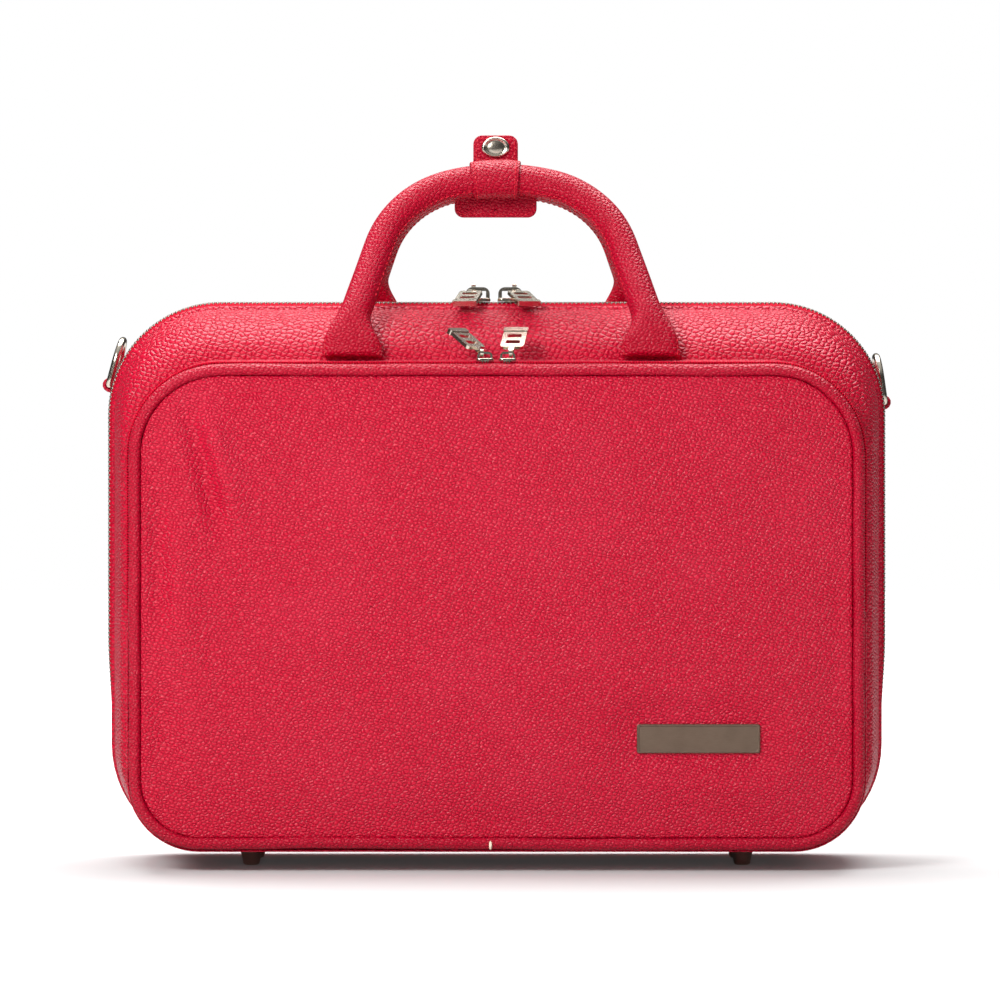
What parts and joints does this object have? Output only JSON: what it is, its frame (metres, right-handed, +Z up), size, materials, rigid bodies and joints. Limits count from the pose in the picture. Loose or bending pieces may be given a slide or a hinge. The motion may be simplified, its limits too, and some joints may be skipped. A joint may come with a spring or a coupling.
{
  "type": "oboe case",
  "caption": "Zipped hard-shelled case with a hinged lid, front pocket, paired rope handles joined by a snap keeper, strap rings and feet",
  "frame": {"origin": "on the floor under the feet, at the middle of the case's box", "axes": "+X to the case's right as seen from the front, -Y towards the front with the pocket, +Z up towards the handles"},
  "size_m": [0.363, 0.1096, 0.3316],
  "materials": {
    "leather": "pebbled leatherette",
    "handle_leather": "pebbled leatherette, stitched",
    "lining": "short plush",
    "board": "bare board",
    "foam": "flocked foam",
    "zip_tape": "woven tape",
    "zip_teeth": "nickel-plated teeth",
    "coil": "coil",
    "nickel": "polished nickel",
    "plate": "brushed, bevelled edge"
  },
  "bodies": {
    "base": {"base_cover": "leather", "base_board": "board", "base_lining": "lining", "foam_tray": "foam", "base_hinge_leaf": "leather", "base_zip_chain": "zip_teeth", "base_zip_tape": "zip_tape", "base_feet": "nickel", "rear_handle_patches": "handle_leather", "left_ring_tab": "handle_leather", "right_ring_tab": "handle_leather"},
    "lid": {"lid_cover": "leather", "lid_board": "board", "lid_lining": "lining", "lid_pad": "lining", "lid_hinge_leaf": "leather", "lid_zip_chain": "zip_teeth", "lid_zip_tape": "zip_tape", "lid_feet": "nickel", "front_handle_patches": "handle_leather", "pocket_gusset": "leather", "pocket_rear_tape": "zip_tape", "pocket_rear_coil": "coil", "piping_lower": "leather", "pocket_panel_lower": "leather", "nameplate": "plate"},
    "pocket_flap": {"pocket_panel_upper": "leather", "piping_upper": "leather", "pocket_front_coil": "coil"},
    "main_slider_left": {"main_slider_left": "nickel"},
    "main_slider_right": {"main_slider_right": "nickel"},
    "main_pull_left": {"main_pull_left": "nickel"},
    "main_pull_right": {"main_pull_right": "nickel"},
    "pocket_slider_left": {"pocket_slider_left": "nickel"},
    "pocket_slider_right": {"pocket_slider_right": "nickel"},
    "pocket_pull_left": {"pocket_pull_left": "nickel"},
    "pocket_pull_right": {"pocket_pull_right": "nickel"},
    "front_handle": {"front_grip": "handle_leather", "front_handle_feet": "handle_leather", "keeper_strap": "handle_leather", "keeper_sheet": "handle_leather"},
    "rear_handle": {"rear_grip": "handle_leather", "rear_handle_feet": "handle_leather", "rear_keeper": "handle_leather", "snap_stud": "nickel"},
    "snap_tab": {"snap_tab": "handle_leather", "snap_cap": "nickel"},
    "left_ring": {"left_ring": "nickel"},
    "right_ring": {"right_ring": "nickel"}
  },
  "joints": [
    {"name": "lid_hinge", "type": "hinge", "parent": "base", "child": "lid", "pos_m": [0, 0.00877, 0.006], "axis": [1, 0, 0], "range_deg": [0, 135]},
    {"name": "pocket_flap_fold", "type": "hinge", "parent": "lid", "child": "pocket_flap", "pos_m": [0, -0.05498, 0.115], "axis": [1, 0, 0], "range_deg": [0, 80]},
    {"name": "main_slider_left_run", "type": "slide", "parent": "base", "child": "main_slider_left", "axis": [-1, 0, 0], "range_m": [0, 0.105]},
    {"name": "main_slider_right_run", "type": "slide", "parent": "base", "child": "main_slider_right", "axis": [1, 0, 0], "range_m": [0, 0.105]},
    {"name": "main_pull_left_swing", "type": "hinge", "parent": "main_slider_left", "child": "main_pull_left", "pos_m": [-0.0106, 0.00877, 0.2614], "axis": [-1, 0, 0], "range_deg": [0, 195]},
    {"name": "main_pull_right_swing", "type": "hinge", "parent": "main_slider_right", "child": "main_pull_right", "pos_m": [0.0081, 0.00877, 0.2614], "axis": [-1, 0, 0], "range_deg": [0, 195]},
    {"name": "pocket_slider_left_run", "type": "slide", "parent": "lid", "child": "pocket_slider_left", "axis": [-1, 0, 0], "range_m": [0, 0.11]},
    {"name": "pocket_slider_right_run", "type": "slide", "parent": "lid", "child": "pocket_slider_right", "axis": [1, 0, 0], "range_m": [0, 0.11]},
    {"name": "pocket_pull_left_swing", "type": "hinge", "parent": "pocket_slider_left", "child": "pocket_pull_left", "pos_m": [-0.0065, -0.04893, 0.2303], "axis": [1, 0, 0], "range_deg": [0, 140]},
    {"name": "pocket_pull_right_swing", "type": "hinge", "parent": "pocket_slider_right", "child": "pocket_pull_right", "pos_m": [0.0062, -0.04893, 0.2303], "axis": [1, 0, 0], "range_deg": [0, 160]},
    {"name": "front_handle_swing", "type": "hinge", "parent": "lid", "child": "front_handle", "pos_m": [0.002, -0.02973, 0.2318], "axis": [1, 0, 0], "range_deg": [0, 80]},
    {"name": "rear_handle_swing", "type": "hinge", "parent": "base", "child": "rear_handle", "pos_m": [0.002, 0.04478, 0.2518], "axis": [-1, 0, 0], "range_deg": [0, 80]},
    {"name": "snap_tab_fold", "type": "hinge", "parent": "front_handle", "child": "snap_tab", "pos_m": [-0.0005, 0.00777, 0.3196], "axis": [1, 0, 0], "range_deg": [0, 60]},
    {"name": "left_ring_swing", "type": "hinge", "parent": "base", "child": "left_ring", "pos_m": [-0.1782, 0.03078, 0.218], "axis": [0, -1, 0], "range_deg": [0, 160]},
    {"name": "right_ring_swing", "type": "hinge", "parent": "base", "child": "right_ring", "pos_m": [0.1782, 0.03078, 0.21], "axis": [0, 1, 0], "range_deg": [0, 160]}
  ]
}
